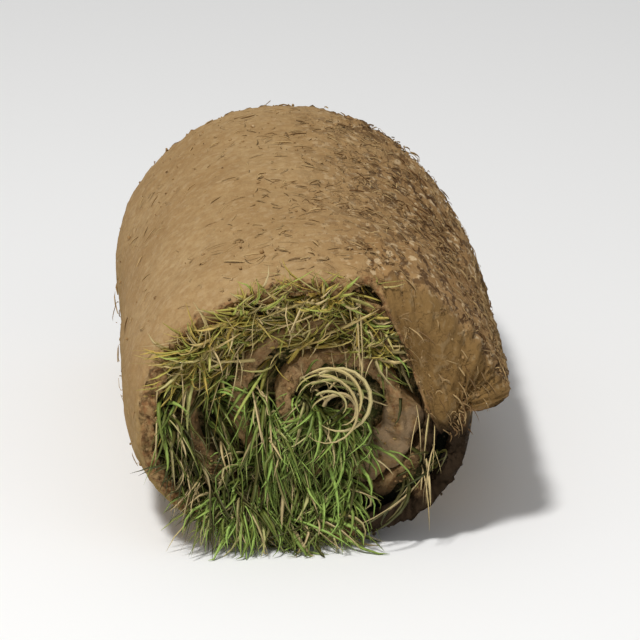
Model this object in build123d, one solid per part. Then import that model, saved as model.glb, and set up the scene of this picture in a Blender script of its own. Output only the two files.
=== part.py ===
"""A roll of turf: one strip of sod, cut from the field and rolled up with its grass inside.

The strip is a mat of soil and roots with grass on its top face. Rolled up, the soil side makes the
outside of the roll, and the pressed grass lies between one turn and the next. The roll lies on the
ground and sags under its own weight: its sides spread, its foot goes flat, and the inner turns
follow. The free end of the strip stands off the turn below it as a lip, and beside it the front edge
of the strip hangs down over the end of the roll as a flap.

Frame: +Z up, the roll's axis along Y, the origin on the ground under the middle of the roll.
Seen from the front, looking along +Y, the strip runs anticlockwise from its lip to its middle.
Everything is in millimetres.
"""
import os
from math import atan2, ceil, cos, degrees, hypot, pi, radians, sin, sqrt

from build123d import *

# The strip, as the cutter leaves it
strip_length = 2000.0
strip_width = 400.0
soil_thickness = 15.0

# The roll
grass_thickness = 16.0  # between the soil of one turn and the soil of the next
eye_radius = 11.0  # the hole that the first fold leaves in the middle
eye_spread = 1.2  # the eye is this much wider than it is high
eye_right = 22.0  # the turns grow off centre, so that the eye ends up this far right of the middle
eye_above = 24.0  # and this far above it
lip_angle = -10.0  # degrees above +X at which the strip ends, seen from the front
lip_length = 115.0  # of the outer turn that stands free of the roll
lip_lift = 18.0  # how far the free end springs out
lip_rounding = 4.0  # the corners of the free end are crumbled round
end_recess = 14.0  # the soil's cut edge stands this far out of the pressed grass
end_step = 15.0  # at the front the inner turns end this much further back than the outer one

# The flap, a stretch of the outer turn whose front edge hangs down
flap_start = 50.0  # from the lip, along the strip
flap_end = 196.0
flap_lowest = 140.0  # from the lip, where it hangs down furthest; at both ends it runs out
flap_drop = 95.0  # how far it hangs down there
flap_rounding = 25.0  # its corner is crumbled round
flap_bend = 24.0  # outer radius of the bend over the end
tear_width = 170.0  # between the flap and the lip the strip's corner is torn off, this far across

# The sag
squash = 0.96  # the height that the roll keeps of what it had when it was round
spread = 1.04  # how much wider that makes it
flattening = 0.32  # 0 leaves the underside as round as the top, and 1 would lay its lowest part flat
foot_press = 5.0  # how far the ground presses into the foot

# Drawing
arcs_per_turn = 12

pitch = soil_thickness + grass_thickness
first_radius = eye_radius + soil_thickness  # of the soil side, where the strip begins


def turns_of(length):
    """The number of turns that a strip of this length makes, measured along its middle."""
    middle = eye_radius + soil_thickness / 2
    return (sqrt(middle**2 + pitch * length / pi) - middle) / pitch


turns = turns_of(strip_length)
closed_at = turns_of(strip_length - lip_length)  # where the lip begins
lip_turns = turns - closed_at
outer_radius = first_radius + pitch * turns


def sagged(x, z):
    """Where a point of the round roll lies once the roll has sagged: lower, wider and flatter below."""
    if z < 0:
        z += flattening * z * z / (2 * outer_radius)
    return x * spread, z * squash


def soil_side(turn):
    """A point of the strip's soil side, a number of turns out from where the strip begins."""
    lifted = max(0.0, (turn - turns + lip_turns) / lip_turns)
    radius = first_radius + pitch * turn + lip_lift * lifted**2
    angle = radians(lip_angle) + 2 * pi * (turns - turn)
    off_centre = (turn / turns) ** 2
    return sagged(radius * cos(angle) - eye_right * off_centre, radius * sin(angle) - eye_above * off_centre)


def inside(turn, depth):
    """The point that lies a depth under the soil side, square to it."""
    step = 0.001
    x0, z0 = soil_side(turn - step)
    x1, z1 = soil_side(turn + step)
    run = hypot(x1 - x0, z1 - z0)
    x, z = soil_side(turn)
    return x + depth * (z1 - z0) / run, z - depth * (x1 - x0) / run


def edge(start, end, depth):
    """The arcs that follow the strip from one turn to another, a depth under its soil side."""
    steps = 2 * ceil(abs(end - start) * arcs_per_turn)
    points = [inside(start + (end - start) * step / steps, depth) for step in range(steps + 1)]
    return Wire([ThreePointArc(*points[step:step + 3]) for step in range(0, steps, 2)])


def band(start, end):
    """The soil of the strip from one turn to another, cut square at both ends."""
    soil = edge(start, end, 0)
    root = edge(end, start, soil_thickness)
    return make_face([*soil.edges(), Line(soil @ 1, root @ 0), *root.edges(), Line(root @ 1, soil @ 0)])


def outer_band():
    """The outer turn and the lip, with the lip's corners crumbled round."""
    outer = band(closed_at - 1, turns)
    lip_end = inside(turns, soil_thickness / 2)
    return fillet(outer.vertices().sort_by_distance(lip_end)[:2], lip_rounding)


def core_section():
    """All that the turns hold pressed together, up to the middle of the outer turn's soil."""
    around = edge(closed_at - 1, closed_at, soil_thickness / 2)
    return make_face([*around.edges(), Line(around @ 1, around @ 0)])


def across(section, front, back):
    """A section of the roll made solid from one distance along the roll's axis to another."""
    return Pos(0, back, 0) * extrude(Plane.XZ * section, back - front)


def turn_at(from_lip):
    """The number of turns out from the eye at a length from the lip."""
    return turns_of(strip_length - from_lip)


def flap_section():
    """The flap seen from the front, from the middle of the soil that it hangs from down to its edge."""
    rim = edge(turn_at(flap_end), turn_at(flap_start), soil_thickness / 2)
    corner = Vector(*inside(turn_at(flap_lowest), soil_thickness / 2)) - (0, flap_drop)
    hanging = Polyline(rim @ 1, corner, rim @ 0)
    face = make_face([*rim.edges(), *hanging.edges()])
    return fillet(face.vertices().sort_by_distance(corner)[0], flap_rounding)


def torn_corner():
    """What is missing of the lip's front corner: a wedge, and nothing of the turn below the lip."""
    outer_x, bottom = soil_side(turns)
    inner_x, _ = soil_side(turns - 1)
    _, top = soil_side(turn_at(flap_start))
    front = -strip_width / 2
    tear = Vector(tear_width, bottom - top)
    past_the_lip = Vector(front, top) + 2 * tear
    wedge = make_face(Polyline((front, top), past_the_lip, (front, past_the_lip.Y), close=True))
    return Pos(inner_x + grass_thickness, 0, 0) * extrude(Plane.YZ * wedge, outer_x - inner_x)


def outside_the_bend():
    """What the bend of the flap takes off its square corner: a part of a ring round its rim's centre."""
    first, middle, last = [Vector(*soil_side(turn_at(length))) for length in (0, flap_start, flap_end)]
    arc = ThreePointArc(first, middle, last)
    centre = arc.arc_center
    front = -strip_width / 2
    bend_centre = Pos(arc.radius - flap_bend, front + flap_bend)
    past_the_corner = flap_bend + soil_thickness
    square = Rectangle(past_the_corner, past_the_corner, align=(Align.MIN, Align.MAX))
    corner = bend_centre * (square - Circle(flap_bend))
    start = degrees(atan2(first.Y - centre.Y, first.X - centre.X))
    end = degrees(atan2(last.Y - centre.Y, last.X - centre.X))
    ring = revolve(corner, Axis((0, 0, 0), (0, -1, 0)), end - start)
    return Pos(centre.X, 0, centre.Y) * Rot(0, -start, 0) * ring


def turf_roll():
    front, back = -strip_width / 2, strip_width / 2
    strip = across(outer_band(), front, back) + across(band(0, closed_at - 1), front + end_step, back)
    flap = across(flap_section(), front, front + soil_thickness)
    core = across(core_section(), front + end_step + end_recess, back - end_recess)
    eye = across(Ellipse(eye_radius * eye_spread, eye_radius), 2 * front, 2 * back)
    roll = strip + flap + core - eye - outside_the_bend() - torn_corner()
    box = roll.bounding_box()
    ground = box.min.Z + foot_press
    pressed_away = Box(2 * box.size.X, 2 * strip_width, 2 * foot_press,
                       align=(Align.CENTER, Align.CENTER, Align.MAX))
    roll -= Pos(0, 0, ground) * pressed_away
    return Pos(-box.center().X, 0, -ground) * roll


os.makedirs("parts", exist_ok=True)
roll = turf_roll()
export_step(roll, "parts/turf_roll.step")
print(f"turns {turns:.2f}, outer radius {outer_radius:.0f}, size {roll.bounding_box().size}")
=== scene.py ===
"""A roll of turf as it lies in the field: a strip of sod rolled up with its grass inside.

Metres, +Z up, the roll's axis along Y, and the end that the camera sees towards -Y. Every rule below is
written on the flat strip, as the cutter leaves it: how far a point is along the strip, how far across it,
and how high in it. Then it is rolled up along one line.
"""
from math import cos, hypot, pi, radians, sin, sqrt

import bpy
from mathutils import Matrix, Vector


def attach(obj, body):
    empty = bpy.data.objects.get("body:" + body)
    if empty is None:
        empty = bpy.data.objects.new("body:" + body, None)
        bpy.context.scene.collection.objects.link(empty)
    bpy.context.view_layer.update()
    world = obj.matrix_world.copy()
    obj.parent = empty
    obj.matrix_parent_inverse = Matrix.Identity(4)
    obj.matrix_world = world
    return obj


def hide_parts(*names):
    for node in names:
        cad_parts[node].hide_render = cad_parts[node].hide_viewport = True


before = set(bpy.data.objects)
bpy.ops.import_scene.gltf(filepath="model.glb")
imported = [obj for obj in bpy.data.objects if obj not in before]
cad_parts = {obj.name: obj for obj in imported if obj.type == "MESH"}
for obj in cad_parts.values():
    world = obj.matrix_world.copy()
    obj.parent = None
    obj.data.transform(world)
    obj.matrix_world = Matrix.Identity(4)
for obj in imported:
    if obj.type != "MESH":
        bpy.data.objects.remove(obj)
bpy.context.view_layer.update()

scene = bpy.context.scene


# The line that the strip is rolled along
#
# The strip is wound from the eye outwards, with its soil outside and its grass inside. The turns sag under
# their own weight, lie flatter below, and grow off centre. The free end springs off as a lip.

strip_length = 2.0
strip_width = 0.4
soil_thickness = 0.015
grass_thickness = 0.016  # pressed between the soil of one turn and the soil of the next
eye_radius = 0.011
eye_right = 0.022  # how far off centre the turns grow
eye_above = 0.024
lip_angle = radians(-10)  # above +X, where the strip ends
lip_length = 0.115  # of the outer turn that stands free of the roll
lip_lift = 0.018  # how far the free end springs out
squash = 0.96  # the height that the roll keeps as it sags
spread = 1.04
flattening = 0.32  # of the underside
foot_press = 0.005  # how far the ground presses into the foot

pitch = soil_thickness + grass_thickness
first_radius = eye_radius + soil_thickness


def turns_of(length):
    """The number of turns that a strip of this length makes, measured along its middle."""
    middle = eye_radius + soil_thickness / 2
    return (sqrt(middle**2 + pitch * length / pi) - middle) / pitch


turns = turns_of(strip_length)
lip_turns = turns - turns_of(strip_length - lip_length)
outer_radius = first_radius + pitch * turns


def soil_side(turn):
    """A point of the soil side, a number of turns out from the eye, as (x, z) from the eye."""
    lifted = max(0.0, (turn - turns + lip_turns) / lip_turns)
    radius = first_radius + pitch * turn + lip_lift * lifted**2
    angle = lip_angle + 2 * pi * (turns - turn)
    off_centre = (turn / turns) ** 2
    x = radius * cos(angle) - eye_right * off_centre
    z = radius * sin(angle) - eye_above * off_centre
    if z < 0:
        z += flattening * z * z / (2 * outer_radius)
    return x * spread, z * squash


def inside(turn, depth):
    """The point that lies a depth under the soil side, square to it."""
    step = 0.001
    x0, z0 = soil_side(turn - step)
    x1, z1 = soil_side(turn + step)
    run = hypot(x1 - x0, z1 - z0)
    x, z = soil_side(turn)
    return x + depth * (z1 - z0) / run, z - depth * (x1 - x0) / run


def room_for_grass(turn):
    """How far the root side of a turn is from the soil side of the turn below it, or from the eye."""
    x, z = inside(turn, soil_thickness)
    if turn < 1:
        return max(0.0, hypot(x / spread, z / squash) - eye_radius)
    near = [soil_side(turn - 1 + step / 100) for step in range(-12, 13)]  # an eighth of a turn both ways
    return min(hypot(x - x1, z - z1) for x1, z1 in near)


def line_of_the_roll():
    """The middle of the soil as a curve from the eye to the lip, whose radius is the room for grass.

    Gives the curve, its length, and where the eye is.
    """
    points_per_turn = 300
    count = round(turns * points_per_turn)
    stops = [i / points_per_turn for i in range(count + 1)]
    shown = [soil_side(stop) for stop in stops]
    middle = (min(x for x, z in shown) + max(x for x, z in shown)) / 2
    ground = min(z for x, z in shown) + foot_press
    line = bpy.data.curves.new("line_of_the_roll", "CURVE")
    line.dimensions = "3D"
    spline = line.splines.new("POLY")
    spline.points.add(count)
    for point, stop in zip(spline.points, stops):
        x, z = inside(stop, soil_thickness / 2)
        point.co = (x - middle, 0, z - ground, 1)
        point.radius = room_for_grass(stop)
    placed = bpy.data.objects.new("line_of_the_roll", line)
    scene.collection.objects.link(placed)
    places = [Vector(point.co[:3]) for point in spline.points]
    return placed, sum((b - a).length for a, b in zip(places, places[1:])), Vector((-middle, 0, -ground))


roll_line, rolled_length, eye = line_of_the_roll()


# The soil mat
#
# Soil held together by roots, cut 15 mm thick and 0.4 m wide. Its underside, smooth from the cutter's blade,
# is the outside of the roll. Its edges are torn, and near the lip its front edge hangs down over the end.

outer_length = 0.99  # of the strip, from its lip: the outer turn and the lip
overlap = 0.004  # by which the inner turns reach into the outer one
end_step = 0.015  # at the front the inner turns end this much further back
steps_back = (0.78, 0.86)  # from the lip, where that step begins and where it is full
most_slip = 0.007  # how far a turn has slipped along the roll's axis
flap_start = 0.05  # from the lip, the stretch whose front edge hangs down
flap_lowest = 0.14
flap_end = 0.196
flap_falls = (0.205, 0.128)  # where its edge begins to fall and where it has fallen
flap_fade = 0.03  # past its end, the stretch over which its bend runs out
flap_drop = 0.095
flap_from = 0.174  # from the roll's middle to where that edge bends
flap_radius = 0.018  # of the middle of the mat in that bend
flap_turn = 1.53  # radians that it turns there
tear_width = 0.17  # between the flap and the lip the strip's corner is torn off, this far across
tongue_from = 1.708  # from the lip, a stretch of an inner turn that swells out at the front
tongue_to = 1.758
edge_radius = 0.10  # of the gentler bend of the other edges
edge_width = 0.06
edge_turn = 0.10  # radians that they turn
front_turn = 0.04  # and that they turn more at the front
left_turn = 0.06  # and more still on the left there
left_from = (0.24, 0.36)  # from the lip, where the left side begins and where it ends
left_to = (0.70, 0.55)
above_ground = 0.0004  # for the lowest points
closeness = 0.95  # of the rows of points towards the edges: 0 would space them evenly


class Value:
    """A value in a node tree. A sum on it adds the node that it needs, so a rule reads as a sum."""

    def __init__(self, tree, socket):
        self.tree, self.socket = tree, socket

    def output(self, name):
        """Another output of the same node."""
        return Value(self.tree, self.socket.node.outputs[name])

    def math(self, operation, *others):
        return add(self.tree, "ShaderNodeMath", (self, *others), operation=operation)

    def __add__(self, other):
        if self.socket.type == "VECTOR":
            return add(self.tree, "ShaderNodeVectorMath", (self, other), operation="ADD")
        return self.math("ADD", other)

    def __mul__(self, other):
        if self.socket.type == "VECTOR":
            return add(self.tree, "ShaderNodeVectorMath", {0: self, "Scale": other}, operation="SCALE")
        return self.math("MULTIPLY", other)

    __radd__, __rmul__ = __add__, __mul__

    def __sub__(self, other):
        return self + other * -1

    def __rsub__(self, other):
        return self * -1 + other

    def __truediv__(self, other):
        return self.math("DIVIDE", other)

    def at_least(self, low):
        return self.math("MAXIMUM", low)

    def at_most(self, high):
        return self.math("MINIMUM", high)

    def size(self):
        return self.math("ABSOLUTE")

    def sign(self):
        return self.math("SIGN")

    def part(self, letter):
        """The X, Y or Z of a vector."""
        return add(self.tree, "ShaderNodeSeparateXYZ", (self,), out=letter)

    def rise(self, start, end):
        """0 before start, 1 after end, and a smooth rise between; or a fall, where start is past end."""
        wanted = {"Value": self, "From Min": start, "From Max": end}
        return add(self.tree, "ShaderNodeMapRange", wanted, interpolation_type="SMOOTHSTEP")

    def between(self, low, high, soft):
        """1 from low to high, and a smooth fall to 0 on both sides."""
        return self.rise(low - soft, low) * self.rise(high + soft, high)

    def noise(self, scale, seed, detail=2.0, roughness=0.5):
        """Noise at this place, from about -1 to 1; the seed shifts it."""
        wanted = {"Vector": self, "W": seed, "Scale": scale, "Detail": detail, "Roughness": roughness}
        return add(self.tree, "ShaderNodeTexNoise", wanted, noise_dimensions="4D") * 2 - 1


def add(tree, kind, inputs=(), out=0, **settings):
    """Adds a node with these settings and inputs, and gives one of its outputs as a Value."""
    node = tree.nodes.new(kind)
    for setting, value in settings.items():
        setattr(node, setting, value)
    for key, value in inputs.items() if isinstance(inputs, dict) else enumerate(inputs):
        if isinstance(value, Value):
            tree.links.new(value.socket, node.inputs[key])
        else:
            node.inputs[key].default_value = value
    return Value(tree, node.outputs[out])


def vector(tree, x, y, z):
    """A vector of these parts."""
    return add(tree, "ShaderNodeCombineXYZ", (x, y, z))


def marked(geometry, marks):
    """Stores values on a geometry's points under these names."""
    for name, value in marks.items():
        kind = "FLOAT_VECTOR" if value.socket.type == "VECTOR" else "FLOAT"
        geometry = add(geometry.tree, "GeometryNodeStoreNamedAttribute",
                       {"Geometry": geometry, "Name": name, "Value": value}, data_type=kind)
    return geometry


def new_tree(name, sizes):
    """A Geometry Nodes tree with a named input for each size, and the inputs as Values."""
    kinds = {int: "NodeSocketInt", float: "NodeSocketFloat", bpy.types.Object: "NodeSocketObject"}
    tree = bpy.data.node_groups.new(name, "GeometryNodeTree")
    for size, value in sizes.items():
        tree.interface.new_socket(size, in_out="INPUT", socket_type=kinds[type(value)])
    tree.interface.new_socket("Geometry", in_out="OUTPUT", socket_type="NodeSocketGeometry")
    given = tree.nodes.new("NodeGroupInput")
    return tree, {size: Value(tree, given.outputs[size]) for size in sizes}


def grown(name, result, sizes, material):
    """Ends a tree, runs it with these sizes, and keeps what it makes as a plain mesh piece of the roll."""
    tree = result.tree
    real = add(tree, "GeometryNodeRealizeInstances", {"Geometry": result})
    dressed = add(tree, "GeometryNodeSetMaterial", {"Geometry": real, "Material": material})
    tree.links.new(dressed.socket, tree.nodes.new("NodeGroupOutput").inputs[0])
    piece = bpy.data.objects.new(name, bpy.data.meshes.new(name))
    scene.collection.objects.link(piece)
    modifier = piece.modifiers.new("grown", "NODES")
    modifier.node_group = tree
    for socket in tree.interface.items_tree:
        if socket.in_out == "INPUT":
            modifier[socket.identifier] = sizes[socket.name]
    seen = piece.evaluated_get(bpy.context.evaluated_depsgraph_get())
    mesh = bpy.data.meshes.new_from_object(seen)
    piece.modifiers.clear()
    piece.data = mesh
    mesh.name = name
    mesh.shade_smooth()
    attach(piece, "root")
    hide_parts("turf_roll")


def at_front(side):
    """1 at the front end of the roll, where the side is -1, and 0 at the back."""
    return side * -0.5 + 0.5


def slip(along, across, from_lip, flap):
    """How far a point has slipped along the roll's axis: a turn a little, and the flap's edge most."""
    towards_front = across.rise(-0.02, -0.19)
    comes_up = ((from_lip - flap_start) / (flap_lowest - flap_start)).at_least(0).at_most(1)
    drop = from_lip.rise(*flap_falls) * flap_drop * comes_up.math("SQRT")
    bend_takes = flap_from + flap_radius * (flap_turn - 1) - strip_width / 2
    moved = vector(along.tree, along, 0, 0).noise(5, 8, detail=1) * most_slip
    moved -= towards_front * flap * (drop + bend_takes)
    return moved + from_lip.rise(*steps_back) * towards_front * end_step


def bend(across, from_lip, flap):
    """The bend of an edge that nothing holds, where the flap is 1 on the flap and 0 elsewhere.

    Gives how far out and how far in a point comes to lie, and the sine and cosine of its turn.
    """
    half_width = strip_width / 2
    front = at_front(across.sign())
    left_side = from_lip.rise(*left_from) * from_lip.rise(*left_to)
    most = edge_turn + front * front_turn + front * left_side * left_turn
    most *= from_lip.rise(1.0, 0.9)  # the turns below the outer one don't bend
    most += flap * (flap_turn - most)
    radius = edge_radius - flap * (edge_radius - flap_radius)
    start = half_width - edge_width + flap * (flap_from - half_width + edge_width)
    past = (across.size() - start).at_least(0)
    turned = (past / radius).at_most(most)
    straight = (past - most * radius).at_least(0)
    sine, cosine = turned.math("SINE"), turned.math("COSINE")
    out = across.size().at_most(start) + sine * radius + straight * cosine
    inward = (1 - cosine) * radius + straight * sine
    return out, inward, sine, cosine


def rolled_up(size, along, across, height):
    """Where a point of the flat strip lies in the roll, with the line's direction there and its outside.

    The height is counted from the middle of the mat, and its soil side is up.
    """
    tree = along.tree
    from_lip = size["Rolled length"] - along
    flap = from_lip.rise(flap_end + flap_fade, flap_end)
    across += slip(along, across, from_lip, flap)
    side = across.sign()
    flap *= at_front(side)
    out, inward, sine, cosine = bend(across, from_lip, flap)

    line = add(tree, "GeometryNodeObjectInfo", {"Object": size["Line"]}, out="Geometry")
    sampled = {"Curves": line, "Length": along}
    spot = add(tree, "GeometryNodeSampleCurve", sampled, out="Position", mode="LENGTH")
    tangent = spot.output("Tangent")
    outwards = vector(tree, tangent.part("Z") * -1, 0, tangent.part("X"))
    plumb = flap * from_lip.rise(flap_start, 0.12)  # 1 where it hangs straight down
    upwards = vector(tree, 0, 0, plumb) + outwards * (1 - plumb)
    place = spot + outwards * (height * cosine) - upwards * inward
    place += vector(tree, 0, side * (out + height * sine), 0)
    place = vector(tree, place.part("X"), place.part("Y"), place.part("Z").at_least(above_ground))
    return place, tangent, outwards


def tear(across):
    """How far the lip is torn back at a place across the strip: its front corner is missing."""
    return (across * -1 - (strip_width / 2 - tear_width)).at_least(0) / tear_width * flap_start


def shade(place):
    """1 where the lip and the flap shade the front of the roll, and 0 elsewhere: it marks where painted shade
    darkens the colour.
    """
    x, z = place.part("X"), place.part("Z")
    under_the_lip = x.rise(0.060, 0.080) * z.rise(0.115, 0.090)
    at_the_foot = x.rise(0.012, 0.030) * z.rise(0.050, 0.035)
    return place.part("Y").rise(-0.13, -0.18) * under_the_lip.at_least(at_the_foot)


def mixed(factor, first, second):
    """A mix of two colours. The node has an A and a B for each kind of value, 6 and 7 for colours."""
    return add(factor.tree, "ShaderNodeMix", {0: factor, 6: first, 7: second}, out=2, data_type="RGBA")


def attribute(tree, name):
    """A value that the piece's points carry, in a material."""
    return add(tree, "ShaderNodeAttribute", out="Fac", attribute_name=name)


def new_material(name, roughness, specular):
    """A material with its shader's constants set, and its tree and the place of a point on the piece."""
    material = bpy.data.materials.new(name)
    material.use_nodes = True
    shader = material.node_tree.nodes["Principled BSDF"]
    shader.inputs["Roughness"].default_value = roughness
    shader.inputs["Specular IOR Level"].default_value = specular
    return material, material.node_tree, add(material.node_tree, "ShaderNodeTexCoord", out="Object")


def finish_material(tree, colour, height, depth):
    """Gives a material its colour, and a bump this deep."""
    shader = tree.nodes["Principled BSDF"]
    tree.links.new(colour.socket, shader.inputs["Base Color"])
    bump = add(tree, "ShaderNodeBump", {"Height": height, "Strength": 0.6, "Distance": depth}, out="Normal")
    tree.links.new(bump.socket, shader.inputs["Normal"])


def soil_material():
    """Tan and felted outside, pitted where it is rough, and darker and redder where it is torn."""
    material, tree, place = new_material("soil and roots", roughness=0.95, specular=0.15)
    tan = (0.395, 0.250, 0.108, 1)
    pale_tan = (0.470, 0.315, 0.148, 1)
    brown = (0.290, 0.155, 0.056, 1)
    dark_brown = (0.080, 0.042, 0.017, 1)
    painted_pit_shade = (0.070, 0.031, 0.011, 1)
    damp_brown = (0.200, 0.115, 0.036, 1)
    red_brown = (0.320, 0.155, 0.062, 1)
    grey_tan = (0.290, 0.198, 0.110, 1)
    shaded_brown = (0.030, 0.018, 0.009, 1)
    olive = (0.230, 0.158, 0.040, 1)
    fleck = (0.60, 0.44, 0.25, 1)
    rough, damp, dry = attribute(tree, "rough"), attribute(tree, "damp"), attribute(tree, "dry")
    fine = place.noise(160, 2, detail=4, roughness=0.65).rise(-0.3, 0.3)

    # the soil side: flecked and pitted where it is rough, with painted shade in the pits, damp on the flap,
    # and darker and olive near the ground, partly a grass stain and partly painted shade
    broad = place.noise(14, 1, detail=3).rise(-0.35, 0.45)
    flecks = place.noise(150, 8, detail=2).rise(0.08, 0.28) * (rough * 0.8 + 0.15)
    drawn_out = vector(tree, place.part("X"), place.part("Y") * 0.6, place.part("Z"))
    pits = drawn_out.noise(90, 3, detail=4, roughness=0.7).rise(0.02, 0.14)
    stains_and_ground_shade = place.noise(20, 15, detail=4).rise(-0.25, 0.3) * 0.55 + 0.30
    felt = mixed(broad, tan, pale_tan)
    felt = mixed((rough * 0.55 + 0.05).at_most(0.6), felt, brown)
    felt = mixed(fine * 0.45, felt, brown)
    felt = mixed(flecks, felt, fleck)
    # painted shade in the pits, darkest where the soil is rough
    felt = mixed(pits * (rough - damp * 0.9).at_least(0) * 0.85, felt, painted_pit_shade)
    # darker and olive near the ground: partly a grass stain, partly painted shade
    felt = mixed(place.part("Z").rise(0.15, 0.05) * stains_and_ground_shade, felt, olive)
    felt = mixed(damp * 0.8, felt, damp_brown)

    # the torn soil: light crumbs in the dark of it, and dust where the sun dries it
    light_crumbs = place.noise(230, 9, detail=4, roughness=0.65).rise(-0.2, 0.2) * 0.9
    dust = attribute(tree, "tongue").at_least(dry * 0.35) * place.noise(90, 12, detail=3).rise(-0.5, 0.1)
    torn = mixed(fine, mixed(dry, dark_brown, damp_brown), red_brown)
    torn = mixed(light_crumbs, torn, tan)
    torn = mixed(dust, torn, grey_tan)

    colour = mixed(attribute(tree, "outside"), torn, felt)
    # painted shade: near black under the lip and at the foot of the front, where the roll shades itself
    colour = mixed(attribute(tree, "shade"), colour, shaded_brown)
    height = place.noise(220, 4, detail=5, roughness=0.7) * 0.6 + place.noise(60, 5, detail=3) * 0.4
    finish_material(tree, colour, height - pits * rough * 0.8, depth=0.003)
    return material


soil = soil_material()


def flat_slab(size, length, width, thickness):
    """The strip as it lies flat, in rows and layers of points, and where each of them is."""
    rows = {"Vertices X": size["Rows along"], "Vertices Y": size["Rows across"], "Vertices Z": size["Layers"]}
    tree = length.tree
    slab = add(tree, "GeometryNodeMeshCube", {"Size": vector(tree, length, width, thickness), **rows})
    return slab, add(tree, "GeometryNodeInputPosition")


def mat(name, start, length, rows_along, rows_across):
    """A stretch of the mat, from how far along the strip it starts."""
    sizes = {"Line": roll_line, "Rolled length": rolled_length, "Start": start, "Length": length,
             "Width": strip_width, "Soil thickness": soil_thickness,
             "Rows along": rows_along, "Rows across": rows_across, "Layers": 5}
    tree, size = new_tree(name, sizes)
    slab, flat = flat_slab(size, size["Length"], size["Width"], size["Soil thickness"])
    half_width = size["Width"] * 0.5
    along = flat.part("X") + size["Length"] * 0.5 + size["Start"]
    across = (flat.part("Y") / half_width * closeness).math("SINE") * half_width * (1 / sin(closeness))
    from_lip = size["Rolled length"] - along
    from_edge = half_width - across.size()
    on_strip = vector(tree, along, across, flat.part("Z"))
    layer = flat.part("Z") / (size["Soil thickness"] * 0.5)  # 1 on the soil side and -1 on the root side

    # the free end and the edges are torn and thin out, the lip's front corner is off, and the tongue swells
    near_edge = from_edge.rise(0.012, 0)
    near_lip = from_lip.rise(0.02, 0)
    torn_edge = on_strip.noise(55, 1, detail=4, roughness=0.6) * 0.013 + on_strip.noise(220, 2) * 0.006
    torn_lip = on_strip.noise(60, 3, detail=3) * 0.010
    torn_across = across + across.sign() * near_edge * torn_edge
    torn_along = along - tear(across) * from_lip.rise(0.12, 0) + near_lip * torn_lip
    tongue = from_lip.between(tongue_from, tongue_to, 0.016) * across.rise(-0.13, -0.17)
    thinned = 1 - (near_edge * 0.3).at_least(near_lip * 0.45) + tongue * 0.8

    # the relief is rougher near the lip and where it hangs down
    hanging = from_lip.between(flap_start, flap_end, 0.01) * across.rise(-0.09, -0.13)
    rough = (from_lip.rise(0.27, 0.13) * (on_strip.noise(11, 4, detail=1) + 0.95)).at_least(0.06)
    rough = rough.at_least(hanging * 0.9)
    waves = on_strip.noise(7, 5, detail=1) * 0.006 * from_lip.rise(1.0, 0.85)
    lumps = on_strip.noise(38, 6, detail=3) * (rough * 0.006 + 0.0018)
    grains = on_strip.noise(130, 7, detail=3, roughness=0.6) * (rough * 0.0045 + hanging * 0.004 + 0.0008)
    crumbled = from_edge.rise(0.014, 0) * on_strip.noise(110, 9, detail=4, roughness=0.65) * 0.008
    swelling = tongue * (on_strip.noise(60, 11, detail=4) + 1) * 0.007
    height = flat.part("Z") * thinned + swelling + waves + (lumps + grains) * layer + crumbled

    place, _, _ = rolled_up(size, torn_along, torn_across, height)
    from_ragged_edge = from_edge + on_strip.noise(45, 10, detail=3) * 0.014
    slab = marked(slab, {
        "outside": layer.rise(0.2, 1) * from_ragged_edge.rise(0.001, 0.006) * from_lip.rise(0.0, 0.006),
        "rough": rough,
        "damp": place.part("Y").rise(-0.180, -0.192) * place.part("X").rise(0.025, 0.04),
        "dry": from_lip.rise(0.9, 1.0),
        "tongue": tongue,
        "shade": shade(place)})
    moved = add(tree, "GeometryNodeSetPosition", {"Geometry": slab, "Position": place})
    grown(name, moved, sizes, soil)


inner_length = rolled_length - outer_length
mat("outer_turn", inner_length, outer_length, rows_along=330, rows_across=136)
mat("inner_turns", 0.0, inner_length + overlap, rows_along=330, rows_across=60)


# The pressed grass
#
# The lower part of the grass, felted and dark, packed between one turn and the next. Its ends lie back
# from the torn edges of the soil.

grass_recess = 0.016
most_grass = 0.021  # where nothing presses it, as under the lip
grass_overlap = 0.001  # it reaches into the soil above and below


def pressed_material():
    """Dark old blades, some still green and some straw."""
    material, tree, place = new_material("pressed grass", roughness=0.9, specular=0.1)
    dark = (0.026, 0.026, 0.010, 1)
    green = (0.085, 0.095, 0.026, 1)
    straw = (0.36, 0.26, 0.115, 1)
    shaded_green = (0.010, 0.011, 0.006, 1)
    colour = mixed(place.noise(90, 11, detail=4, roughness=0.7).rise(-0.25, 0.3), dark, green)
    colour = mixed(place.noise(150, 12, detail=4, roughness=0.7).rise(-0.15, 0.3), colour, straw)
    # painted shade: near black under the lip and at the foot of the front
    colour = mixed(attribute(tree, "shade"), colour, shaded_green)
    finish_material(tree, colour, place.noise(180, 13, detail=4, roughness=0.7), depth=0.004)
    return material


def room(size, along):
    """The room for grass that the roll's line carries as its radius, at a place along it."""
    tree = along.tree
    line = add(tree, "GeometryNodeObjectInfo", {"Object": size["Line"]}, out="Geometry")
    wide = add(tree, "GeometryNodeInputRadius")
    sampled = {"Curves": line, "Value": wide, "Length": along}
    pressed = add(tree, "GeometryNodeSampleCurve", sampled, out="Value", mode="LENGTH")
    return pressed.at_most(size["Most grass"])


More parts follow.
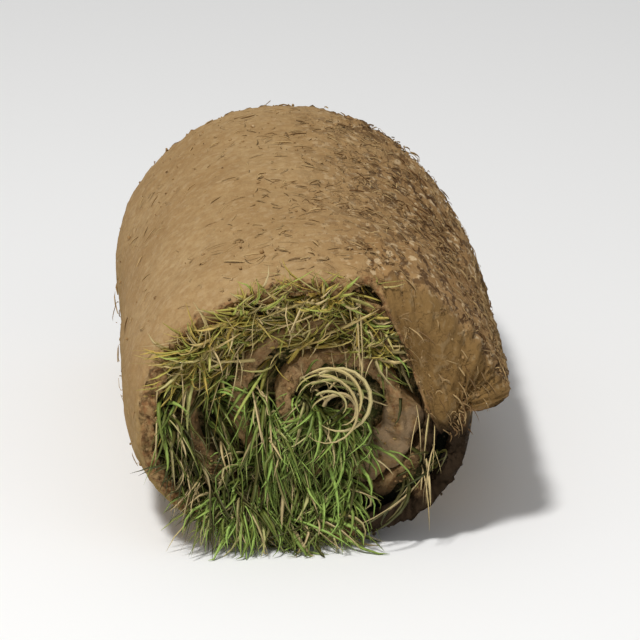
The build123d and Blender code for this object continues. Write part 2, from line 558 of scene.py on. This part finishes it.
def pressed_grass():
    """The felt of grass on the root side, as thick as the room that it has."""
    sizes = {"Line": roll_line, "Rolled length": rolled_length, "Width": strip_width - 2 * grass_recess,
             "Soil thickness": soil_thickness, "Most grass": most_grass,
             "Rows along": 420, "Rows across": 24, "Layers": 3}
    tree, size = new_tree("pressed_grass", sizes)
    slab, flat = flat_slab(size, size["Rolled length"], size["Width"], 1.0)
    along = flat.part("X") + size["Rolled length"] * 0.5
    across = flat.part("Y") + flat.part("Y").sign() * flat.noise(25, 14) * 0.004
    from_lip = size["Rolled length"] - along
    along -= from_lip.rise(0.3, 0) * (tear(across) * 1.4 + 0.02)  # it ends short of the lip
    depth = (0.5 - flat.part("Z")) * (room(size, along) + 2 * grass_overlap) - grass_overlap
    place, _, _ = rolled_up(size, along, across, size["Soil thickness"] * -0.5 - depth)
    slab = marked(slab, {"shade": shade(place)})
    moved = add(tree, "GeometryNodeSetPosition", {"Geometry": slab, "Position": place})
    grown("pressed_grass", moved, sizes, pressed_material())


pressed_grass()


# The blades at the ends
#
# Where the pressed grass comes out between the turns, its blades fan out and droop over the end. They are
# dense and green low in the middle, with painted highlights on the tufts and painted shade between them,
# yellower along the upper rim, where some curl out over the edge, and few elsewhere.

blade_points = 6
blade_thickness = 0.25  # of its width
furthest = 0.2205  # along the roll's axis from its middle, that a blade reaches
lowest_at_the_rim = 0.163  # no blade of the front rim hangs lower, so that the inner turns show


def blade_material():
    """From dark to bright green with how fresh a blade is and with painted light and shade, and then yellow
    or straw.
    """
    material, tree, place = new_material("grass blades", roughness=0.5, specular=0.3)
    dark = (0.036, 0.042, 0.010, 1)
    green = (0.098, 0.134, 0.020, 1)
    bright = (0.300, 0.455, 0.095, 1)
    yellow = (0.600, 0.420, 0.095, 1)
    straw = (0.62, 0.475, 0.235, 1)
    fresh = attribute(tree, "fresh")
    colour = mixed(fresh.rise(0, 0.5), dark, green)
    colour = mixed(fresh.rise(0.4, 1), colour, bright)
    colour = mixed(attribute(tree, "yellow"), colour, yellow)
    colour = mixed(attribute(tree, "dry"), colour, straw)
    finish_material(tree, colour, place.noise(400, 21, detail=1), depth=0.0004)
    return material


blade_finish = blade_material()


def chance(seed, low=0.0, high=1.0):
    """A number drawn for each point between low and high.

    The node has a Min and a Max for each kind of number, and 2 and 3 are for decimals.
    """
    wanted = {2: low, 3: high, "Seed": seed}
    return add(seed.tree, "FunctionNodeRandomValue", wanted, out=1, data_type="FLOAT")


def named(tree, name, kind="FLOAT"):
    """A value that the points carry, in a tree that makes a mesh."""
    return add(tree, "GeometryNodeInputNamedAttribute", {"Name": name}, data_type=kind)


def without(points, unwanted):
    """The points but for those where a value is above zero.

    It comes after the points are marked, because chance draws by a point's place among the others.
    """
    tree = points.tree
    chosen = add(tree, "FunctionNodeCompare", (unwanted, 0.0), operation="GREATER_THAN", data_type="FLOAT")
    return add(tree, "GeometryNodeDeleteGeometry", {"Geometry": points, "Selection": chosen})


def stalks(points, size):
    """A row of points from each point. Their t is 0 at its root and 1 at its tip."""
    tree = points.tree
    stalk = add(tree, "GeometryNodeMeshLine", {"Count": size["Points"], "Offset": (1, 0, 0)})
    stalk = marked(stalk, {"t": add(tree, "GeometryNodeInputPosition").part("X") / (size["Points"] - 1)})
    laid = add(tree, "GeometryNodeInstanceOnPoints", {"Points": points, "Instance": stalk})
    return add(tree, "GeometryNodeRealizeInstances", {"Geometry": laid})


def tapered(rows, path):
    """A flat blade along each row, once its points lie on this path."""
    tree = rows.tree
    t = named(tree, "t")
    laid = add(tree, "GeometryNodeSetPosition", {"Geometry": rows, "Position": path})
    curves = add(tree, "GeometryNodeMeshToCurve", {"Mesh": laid})
    curves = add(tree, "GeometryNodeSetCurveTilt", {"Curve": curves, "Tilt": named(tree, "turned")})
    half_width = named(tree, "width") * 0.5 * (1 - t * t * t * 0.92) * t.rise(-0.4, 0.3)
    circle = add(tree, "GeometryNodeCurvePrimitiveCircle", {"Resolution": 3, "Radius": 1.0})
    profile = add(tree, "GeometryNodeTransform", {"Geometry": circle, "Scale": (1, blade_thickness, 1)})
    return add(tree, "GeometryNodeCurveToMesh", {"Curve": curves, "Profile Curve": profile,
                                                 "Scale": half_width, "Fill Caps": True})


def ribbons(points, size):
    """A blade from each point, that leaves it along its heading and then sways and droops."""
    tree = points.tree
    rows = stalks(points, size)
    t = named(tree, "t")
    path = named(tree, "root", "FLOAT_VECTOR") + named(tree, "heading", "FLOAT_VECTOR") * (t * 2 - t * t)
    path += named(tree, "sway", "FLOAT_VECTOR") * (t * t)
    y = path.part("Y").at_least(-furthest).at_most(furthest)
    z = (path.part("Z") - named(tree, "drop") * t * t).at_least(0.0012)  # the blades lie on the ground
    return tapered(rows, vector(tree, path.part("X"), y, z))


def sprouted(size, along, end, from_edge, depth):
    """Where a blade comes out of the grass at an end, with the line's direction there and its outside.

    The depth is its share of the grass, from the soil that it grows in to the turn below.
    """
    height = size["Soil thickness"] * -0.5 - depth * room(size, along)
    return rolled_up(size, along, end * (strip_width / 2 - from_edge), height)


def free_space(root):
    """How far a blade may reach out of the end."""
    return (root.part("Y").size() * -1 + furthest).at_least(0.003)


def patches(x, z):
    """Four parts of the end, each 1 inside and 0 outside, x to the right of the middle and z above ground.

    They are the mass below the eye, the upper rim, the left corner and the lower part of that.
    """
    below_the_eye = x.between(-0.056, 0.000, 0.010) * z.rise(0.120, 0.100)
    at_the_foot = x.between(-0.095, 0.002, 0.012) * z.rise(0.060, 0.040)
    rim = z.rise(0.13, 0.150) * x.rise(0.045, 0.030)
    corner = x.rise(-0.068, -0.085) * z.rise(0.135, 0.105)
    return below_the_eye.at_least(at_the_foot), rim, corner, corner * z.rise(0.11, 0.09)


def blade_cover(x, z, patch, from_lip, clump, front):
    """The share of the points at a place that a blade grows from. Clump is high inside a tuft of grass."""
    mass, rim, corner, low_corner = patch
    above_the_eye = x.between(-0.052, 0.0, 0.012) * z.between(0.124, 0.168, 0.005)
    on_the_left = x.between(-0.100, -0.060, 0.008) * z.between(0.058, 0.108, 0.008)
    bare = above_the_eye.at_least(on_the_left * 0.95)
    far_side = x.rise(0.018, 0.028) * z.rise(0.140, 0.126)
    behind_the_flap = (x + z * 0.4).rise(0.130, 0.136) * z.rise(0.10, 0.11)
    on_the_flap = from_lip.rise(flap_end + 0.02, flap_end)
    in_the_gap = x.between(0.060, 0.080, 0.004) * z.between(0.030, 0.075, 0.01)
    cover = mass * 0.85 + rim * 0.68 + corner * 0.30 + low_corner * 0.15 + 0.10
    cover *= clump.rise(-0.08, 0.2) * 0.94 + 0.06
    cover *= 1 - (bare * 0.82 + far_side + behind_the_flap + on_the_flap * 0.93).at_most(1) * front
    return cover + in_the_gap * front * 0.035


def blade_colours(seed, patch, clump):
    """How fresh and how lit each blade is painted, and how yellow and dry: bright in the mass and in the
    tufts, with painted highlights there and painted shade between the tufts, and yellow at the rim.
    """
    mass, rim, corner, low_corner = patch
    # painted light: blades in the tufts are painted bright, as if lit, and those between them dark, as if
    # shaded
    fresh = mass * 0.32 + rim * 0.5 + clump * 1.8 + chance(seed + 4, -0.45, 0.6)
    yellow = (rim * 0.9 + 0.1) * chance(seed + 5, 0.25, 1.0)
    dead = chance(seed + 6) + low_corner * 0.08 + rim * 0.21 + 0.02
    dry = dead.rise(0.80, 0.95) * chance(seed + 7, 0.4, 1.0)
    return {"fresh": fresh + corner * 0.15 - low_corner * 0.5, "yellow": yellow, "dry": dry}


def blades(name, end, count, first_seed):
    """The blades at the end on this side of the roll: -1 is the front."""
    sizes = {"Line": roll_line, "Rolled length": rolled_length, "Most grass": most_grass,
             "Soil thickness": soil_thickness, "Side": float(end), "Count": count, "Seed": first_seed,
             "Points": blade_points}
    tree, size = new_tree(name, sizes)
    points = add(tree, "GeometryNodePoints", {"Count": size["Count"]})
    seed = size["Seed"]
    along = chance(seed) * size["Rolled length"]
    depth = chance(seed + 1, 0.1, 0.95)
    from_edge = chance(seed + 2, 0.004, grass_recess + 0.004)
    root, tangent, outwards = sprouted(size, along, size["Side"], from_edge, depth)
    x, z = root.part("X"), root.part("Z")
    patch = patches(x, z)
    mass, rim, corner, low_corner = patch
    front = at_front(size["Side"])
    clump = root.noise(42, 31, detail=2)
    lean = root.noise(36, 32, detail=1)

    # out of the end, or over the soil's edge at the rim, and leaning with their neighbours
    over_the_edge = rim * x.rise(-0.125, -0.095) * front * chance(seed + 17).rise(0.4, 0.6)
    reach = free_space(root).at_most(chance(seed + 8, 0.006, 0.034) * (1 - rim * 0.6))
    reach = reach.at_least(over_the_edge * (from_edge + 0.010))
    swing = lean * 0.11 + chance(seed + 9, -0.022, 0.022) - rim * 0.012
    swing *= 1 - x.rise(-0.07, -0.11) * 0.55
    outside = chance(seed + 10, -0.012, 0.014) - corner * 0.012 - (1 - front) * 0.008
    heading = vector(tree, 0, size["Side"], 0) * reach + tangent * swing + outwards * outside

    # then to one side or curling over, and down
    beside_the_eye = x.rise(-0.03, 0.005) * z.rise(0.13, 0.11)
    sideways = chance(seed + 12, -0.016, 0.016) + corner * 0.003 - low_corner * 0.009
    sideways -= beside_the_eye * 0.018
    curl = over_the_edge * chance(seed + 18, 0.006, 0.021)
    sway = tangent * chance(seed + 11, -0.020, 0.020) + vector(tree, sideways, 0, 0) + outwards * curl
    drop = chance(seed + 13, 0.002, 0.022) + (mass + corner * 0.4) * chance(seed + 14, 0.0, 0.036)
    room_to_drop = (z - rim * front * lowest_at_the_rim).at_least(0.002)
    drop = drop.at_most(room_to_drop) * (1 - over_the_edge * 0.8)

    points = marked(points, {
        "root": root, "heading": heading, "sway": sway, "drop": drop,
        "width": chance(seed + 15, 0.0024, 0.0044), "turned": chance(seed + 16, 0.0, 2 * pi),
        **blade_colours(seed, patch, clump)})
    cover = blade_cover(x, z, patch, size["Rolled length"] - along, clump, front)
    points = without(points, chance(seed + 3) - cover)
    grown(name, ribbons(points, size), sizes, blade_finish)


blades("front_blades", -1, count=15000, first_seed=100)
blades("back_blades", 1, count=9000, first_seed=200)


# The dry grass
#
# Dead blades, bleached to straw. Some hang beside the flap and under it, some lie among the fresh ones, and
# a few curl round the eye, where the strip was folded first.

loop_points = 14
loop_height = 0.014  # of their middle above the eye


def straws():
    """Single dead blades at both ends."""
    sizes = {"Line": roll_line, "Rolled length": rolled_length, "Most grass": most_grass,
             "Soil thickness": soil_thickness, "Count": 2600, "Seed": 320, "Points": blade_points}
    tree, size = new_tree("straws", sizes)
    points = add(tree, "GeometryNodePoints", {"Count": size["Count"]})
    seed = size["Seed"]
    along = chance(seed) * size["Rolled length"]
    end = (chance(seed + 1) - 0.4).sign()
    from_edge = chance(seed + 2, 0.0, grass_recess)
    root, tangent, outwards = sprouted(size, along, end, from_edge, chance(seed + 3, 0.1, 0.95))
    x, z = root.part("X"), root.part("Z")
    under_the_flap = x.between(0.062, 0.082, 0.006) * z.between(0.055, 0.110, 0.01)
    by_the_flap = x.between(0.020, 0.034, 0.002) * z.rise(0.172, 0.178) * at_front(end)
    low_left = x.rise(-0.06, -0.08) * z.rise(0.12, 0.10)
    far_side = x.rise(0.018, 0.028) * (1 - under_the_flap - by_the_flap)
    cover = under_the_flap * 0.10 + by_the_flap * 0.4 + low_left * 0.05 + 0.10 - far_side

    # those at the flap hang straight down, and the others lie any way
    hanging = under_the_flap + by_the_flap
    loose = 1 - hanging * 0.85
    heading = vector(tree, 0, end, 0) * free_space(root).at_most(chance(seed + 5, 0.006, 0.03))
    heading += tangent * chance(seed + 6, -0.022, 0.022) * loose
    heading += outwards * chance(seed + 7, -0.012, 0.006) + vector(tree, 0, 0, -0.010) * hanging
    points = marked(points, {
        "root": root, "heading": heading, "sway": tangent * chance(seed + 8, -0.02, 0.02) * loose,
        "drop": chance(seed + 9, 0.0, 0.035) + by_the_flap * 0.035,
        "width": chance(seed + 10, 0.0018, 0.0034), "turned": chance(seed + 11, 0.0, 2 * pi),
        "fresh": chance(seed + 12), "yellow": chance(seed + 13),
        "dry": chance(seed + 14, 0.75, 1.0)})
    points = without(points, chance(seed + 4) - cover)
    grown("straws", ribbons(points, size), sizes, blade_finish)


def loops_at_the_eye():
    """Stalks bent into open rings round the eye, each with its own reach, start and sweep."""
    sizes = {"Count": 9, "Seed": 430, "Points": loop_points}
    tree, size = new_tree("loops_at_the_eye", sizes)
    seed = size["Seed"]
    points = add(tree, "GeometryNodePoints", {"Count": size["Count"]})
    middle = vector(tree, chance(seed, -0.006, 0.006) + eye.x, chance(seed + 1, -0.215, -0.200),
                    chance(seed + 2, -0.008, 0.004) + (eye.z + loop_height))
    points = marked(points, {
        "middle": middle, "reach": chance(seed + 3, 0.012, 0.034),
        "flatness": chance(seed + 10, 0.65, 1.1), "start": chance(seed + 4, 1.8, 3.4),
        "sweep": chance(seed + 5, -4.6, -2.6), "bent": chance(seed + 11, -0.15, 0.15),
        "width": chance(seed + 6, 0.0022, 0.0048), "turned": chance(seed + 12, 0.0, pi),
        "fresh": chance(seed + 7), "yellow": chance(seed + 8),
        "dry": chance(seed + 9, 0.45, 0.95)})
    rows = stalks(points, size)
    t = named(tree, "t")
    angle = named(tree, "start") + named(tree, "sweep") * t
    radius = named(tree, "reach") * (1 - t * 0.25 + named(tree, "bent") * (t * 5).math("SINE"))
    right = angle.math("COSINE") * radius
    up = angle.math("SINE") * radius * named(tree, "flatness")
    path = named(tree, "middle", "FLOAT_VECTOR") + vector(tree, right, t * -0.003, up)
    grown("loops_at_the_eye", tapered(rows, path), sizes, blade_finish)


straws()
loops_at_the_eye()


# Roots and crumbs
#
# The soil side is felted with cut root ends, most of all towards the lip, where the strip tore. Small lumps
# of soil cling there and along the torn edges.

fibre_points = 4


def fibre_material():
    """Roots, from dark and damp to pale and dry."""
    material, tree, place = new_material("root ends", roughness=0.85, specular=0.15)
    dark = (0.130, 0.062, 0.022, 1)
    pale = (0.50, 0.34, 0.155, 1)
    colour = mixed(attribute(tree, "shade"), dark, pale)
    finish_material(tree, colour, place.noise(500, 22, detail=1), depth=0.0003)
    return material


def torn_away(from_lip, across):
    """1 where the lip's front corner is missing, so that nothing clings there."""
    return (tear(across) - from_lip).rise(-0.018, -0.012)


def fibres():
    """Root ends that lie on the outside of the outer turn."""
    sizes = {"Line": roll_line, "Rolled length": rolled_length, "Count": 9000, "Seed": 500,
             "Points": fibre_points}
    tree, size = new_tree("fibres", sizes)
    seed = size["Seed"]
    points = add(tree, "GeometryNodePoints", {"Count": size["Count"]})
    from_lip = chance(seed, 0.004, 0.92)
    across = chance(seed + 1, -0.49, 0.49) * strip_width
    height = chance(seed + 3, 0.0000, 0.0022) + soil_thickness / 2
    root, tangent, outwards = rolled_up(size, size["Rolled length"] - from_lip, across, height)
    patch = vector(tree, from_lip, across, 0).noise(16, 33, detail=1)
    smooth = from_lip.rise(0.15, 0.35)
    on_the_flap = from_lip.between(flap_start, flap_end, 0.01) * across.rise(-0.08, -0.12)
    cover = (1 - smooth) * (patch * 0.6 + 0.7) + 0.03 + on_the_flap * 0.5
    heading = tangent * chance(seed + 4, -0.012, 0.012)
    heading += vector(tree, 0, chance(seed + 5, -0.010, 0.010), 0)
    heading += outwards * chance(seed + 6, -0.001, 0.003)
    sway = tangent * chance(seed + 7, -0.007, 0.007) + outwards * chance(seed + 8, -0.006, 0.0)
    points = marked(points, {
        "root": root, "heading": heading, "sway": sway, "drop": chance(seed + 9, 0.0, 0.002),
        "width": chance(seed + 10, 0.0007, 0.0022), "turned": chance(seed + 11, 0.0, 2 * pi),
        "shade": chance(seed + 12) * (1 - smooth * 0.5) + smooth * 0.5})
    points = without(points, chance(seed + 2) - cover + torn_away(from_lip, across) * 2)
    grown("fibres", ribbons(points, size), sizes, fibre_finish)


def crumbs():
    """Lumps of soil, half of them on the outside of the roll and half along the strip's edges."""
    sizes = {"Line": roll_line, "Rolled length": rolled_length, "Count": 9000, "Seed": 600}
    tree, size = new_tree("crumbs", sizes)
    seed = size["Seed"]
    points = add(tree, "GeometryNodePoints", {"Count": size["Count"]})
    at_edge = (chance(seed + 1) - 0.5).sign() * 0.5 + 0.5
    on_top = 1 - at_edge
    drawn = chance(seed, 0.002, 1.0)
    from_lip = drawn * drawn * on_top + chance(seed + 3) * at_edge * size["Rolled length"]
    edge_side = (chance(seed + 2) - 0.35).sign()
    edge_across = edge_side * (strip_width / 2 + chance(seed + 4, -0.005, 0.003))
    across = chance(seed + 5, -0.49, 0.49) * strip_width * on_top + edge_across * at_edge
    height = soil_thickness / 2 * on_top + chance(seed + 6, -0.45, 0.45) * soil_thickness * at_edge
    root, _, _ = rolled_up(size, size["Rolled length"] - from_lip, across, height)
    y = root.part("Y").at_least(-furthest + 0.003).at_most(furthest - 0.003)
    root = vector(tree, root.part("X"), y, root.part("Z").at_least(0.003))
    patch = vector(tree, from_lip, across, 0).noise(20, 34, detail=1)
    cover = at_edge * 0.8 + from_lip.rise(0.45, 0.12) * (patch * 0.6 + 0.6) + 0.04
    points = add(tree, "GeometryNodeSetPosition", {"Geometry": points, "Position": root})
    # the crumbs carry the painted shade of the front as well
    points = marked(points, {
        "outside": 1 - at_edge * chance(seed + 8), "rough": chance(seed + 9, 0.0, 0.8),
        "shade": shade(root)})
    points = without(points, chance(seed + 7) - cover + torn_away(from_lip, across) * 2)

    lump = add(tree, "GeometryNodeMeshIcoSphere", {"Radius": 1.0, "Subdivisions": 1})
    drawn = chance(seed + 10)
    big = drawn * drawn * drawn * 0.0013 + 0.0006
    shape = vector(tree, chance(seed + 11, 0.7, 1.3), chance(seed + 12, 0.7, 1.3), 0.8)
    turned = vector(tree, *[chance(seed + draw, 0, 6) for draw in (13, 14, 15)])
    laid = add(tree, "GeometryNodeInstanceOnPoints", {
        "Points": points, "Instance": lump, "Scale": shape * big,
        "Rotation": add(tree, "FunctionNodeEulerToRotation", (turned,))})
    grown("crumbs", laid, sizes, soil)


fibre_finish = fibre_material()
fibres()
crumbs()


# The camera
#
# It looks at the roll's end from a little left of its axis and from 21 degrees above, as in the photograph,
# where the rolls are seen from far away.

camera_azimuth = radians(-3.5)
camera_elevation = radians(21.3)
camera_distance = 3.15
view_width = 0.5055  # of what the camera takes in where the roll lies
target = Vector((0.0068, 0.0, 0.1056))  # the middle of what it takes in

level = Vector((sin(camera_azimuth), -cos(camera_azimuth), 0))
back = level * cos(camera_elevation) + Vector((0, 0, sin(camera_elevation)))
lens = bpy.data.cameras.new("camera")
lens.lens = lens.sensor_width * camera_distance / view_width
camera = bpy.data.objects.new("camera", lens)
camera.location = target + back * camera_distance
camera.rotation_euler = (-back).to_track_quat("-Z", "Y").to_euler()
scene.collection.objects.link(camera)
scene.camera = camera


# The studio
#
# A plain pale floor, a broad soft lamp high on the left, as the sun stands in the photograph, a weak one
# on the right, and an even pale sky.

floor_size = 30

floor_mesh = bpy.data.meshes.new("floor")
corners = [(x * floor_size, y * floor_size, 0) for x, y in ((-1, -1), (1, -1), (1, 1), (-1, 1))]
floor_mesh.from_pydata(corners, [], [(0, 1, 2, 3)])
floor = bpy.data.objects.new("floor", floor_mesh)
scene.collection.objects.link(floor)
floor_paint = bpy.data.materials.new("pale floor")
floor_paint.use_nodes = True
floor_shader = floor_paint.node_tree.nodes["Principled BSDF"]
floor_shader.inputs["Base Color"].default_value = (0.92, 0.91, 0.89, 1)
floor_shader.inputs["Roughness"].default_value = 0.9
floor_mesh.materials.append(floor_paint)


def lamp(name, place, size, power):
    """A square soft lamp that shines at the roll."""
    light = bpy.data.lights.new(name, "AREA")
    light.size = size
    light.energy = power
    placed = bpy.data.objects.new(name, light)
    placed.location = place
    placed.rotation_euler = (target - Vector(place)).to_track_quat("-Z", "Y").to_euler()
    scene.collection.objects.link(placed)


lamp("key lamp", place=(-1.05, -1.6, 3.55), size=0.5, power=118)
lamp("fill lamp", place=(2.4, -2.2, 1.8), size=2.5, power=8)

world = bpy.data.worlds.new("pale sky")
world.use_nodes = True
sky = world.node_tree.nodes["Background"]
sky.inputs["Color"].default_value = (0.95, 0.97, 1, 1)
sky.inputs["Strength"].default_value = 0.36
scene.world = world
scene.view_settings.view_transform = "Standard"


bpy.data.objects.remove(roll_line)  # it only rolled the strip up
